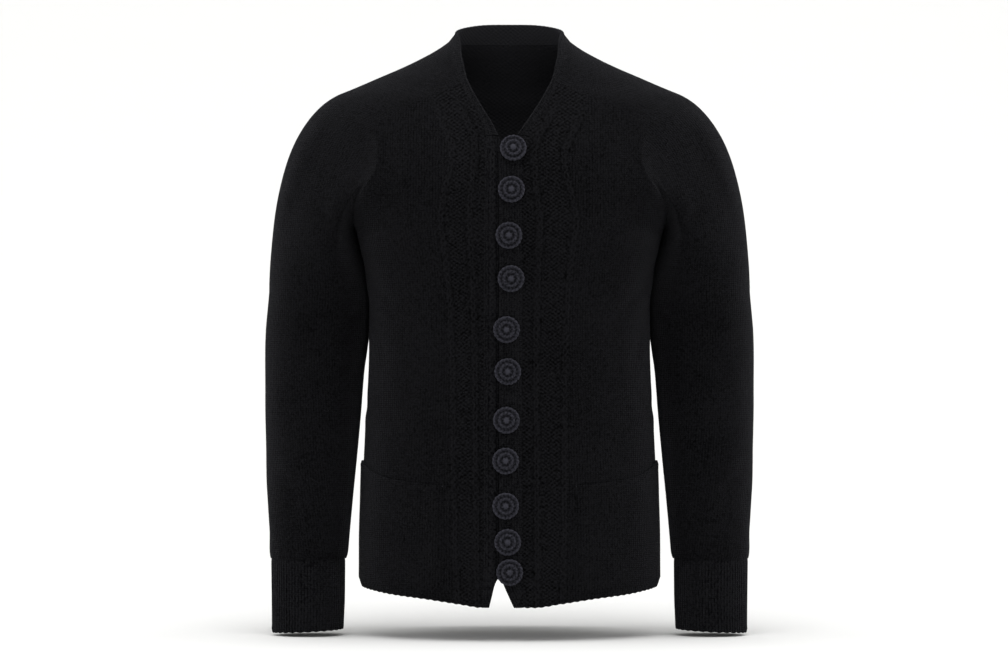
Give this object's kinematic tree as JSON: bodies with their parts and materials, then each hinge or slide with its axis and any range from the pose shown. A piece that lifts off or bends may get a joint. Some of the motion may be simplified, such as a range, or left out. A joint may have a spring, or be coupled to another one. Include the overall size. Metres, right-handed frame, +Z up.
{
  "type": "knitted cardigan",
  "caption": "V-neck knitted wool cardigan with saddle shoulders, patch pockets, ribbed cuffs and a fastened row of crochet-covered buttons, filled out as worn.",
  "frame": {"origin": "the middle of the neck opening, level with the tops of the shoulders, where the wearer carries the garment", "axes": "+Z up along the body, -Y towards the front, +X towards the viewer's right, which is the wearer's left"},
  "size_m": [0.588, 0.2255, 0.732],
  "materials": {
    "knit": "near-black wool stockinette, matt with a faint halo of fibres",
    "rib": "near-black wool rib and textured stitch, matt",
    "button": "crocheted wool cover, dark slate, matt"
  },
  "bodies": {
    "root": {"back": "knit", "front_right": "knit", "front_left": "knit", "sleeve_right": "knit", "sleeve_left": "knit", "pocket_right": "knit", "pocket_left": "knit", "neckband": "rib", "buttonhole_band": "rib", "button_band": "rib", "cuff_right": "rib", "cuff_left": "rib", "button_01": "button", "button_02": "button", "button_03": "button", "button_04": "button", "button_05": "button", "button_06": "button", "button_07": "button", "button_08": "button", "button_09": "button", "button_10": "button", "button_11": "button"}
  },
  "joints": []
}
